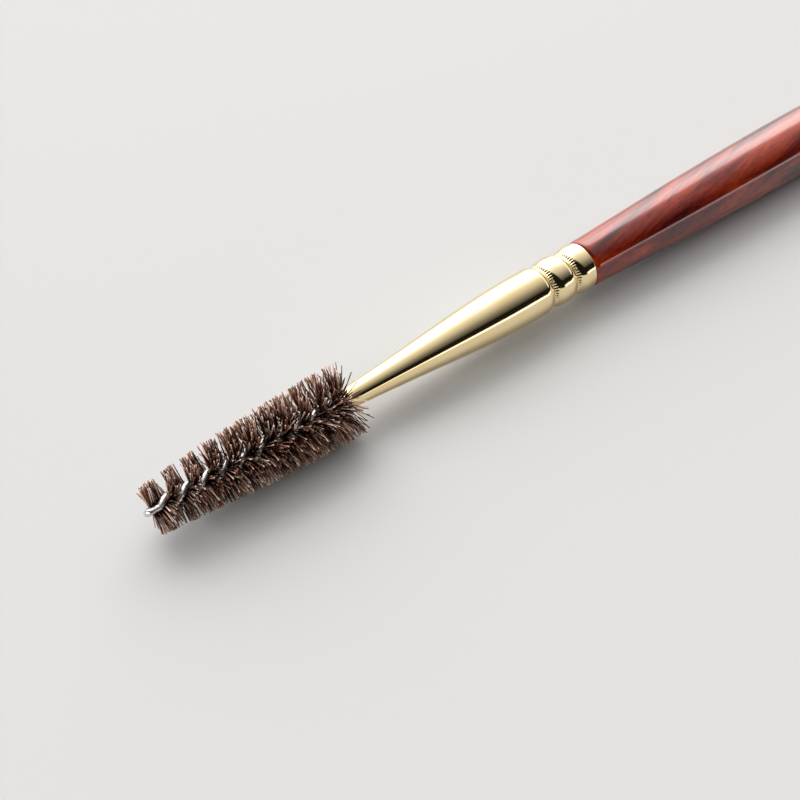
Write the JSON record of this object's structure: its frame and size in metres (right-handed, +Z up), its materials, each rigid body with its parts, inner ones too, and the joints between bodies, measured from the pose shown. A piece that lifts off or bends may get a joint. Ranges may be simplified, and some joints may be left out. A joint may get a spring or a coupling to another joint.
{
  "type": "cosmetic screw brush",
  "caption": "Slim cosmetic screw brush: a tapered twisted-in-wire bristle head in a gilt, twice-crimped ferrule on a turned, lacquered hardwood handle.",
  "frame": {"origin": "bottom centre of the box around the brush lying level on its handle's belly and its bristles", "axes": "+X along the brush from the bristle head to the butt of the handle, +Z up, +Y to the left of +X"},
  "size_m": [0.155, 0.0082, 0.0082],
  "materials": {
    "lacquered_hardwood": "turned hardwood stained red-brown, dark grain lines, several coats of gloss lacquer",
    "gilt_brass": "deep-drawn brass, bright nickel and flash gold plate, polished",
    "steel_wire": "drawn and twisted bright steel wire",
    "boar_bristle": "stiff dyed natural bristle, clipped to length",
    "clear_epoxy": "cured amber epoxy",
    "tenon_cement": "set cement, matt"
  },
  "bodies": {
    "root": {"handle": "lacquered_hardwood", "ferrule": "gilt_brass", "core_wire": "steel_wire", "nose_resin": "clear_epoxy", "tenon_cement": "tenon_cement", "bristle_tuft_01": "boar_bristle", "bristle_tuft_02": "boar_bristle", "bristle_tuft_03": "boar_bristle", "bristle_tuft_04": "boar_bristle", "bristle_tuft_05": "boar_bristle", "bristle_tuft_06": "boar_bristle", "bristle_tuft_07": "boar_bristle", "bristle_tuft_08": "boar_bristle", "bristle_tuft_09": "boar_bristle", "bristle_tuft_10": "boar_bristle", "bristle_tuft_11": "boar_bristle"}
  },
  "joints": []
}
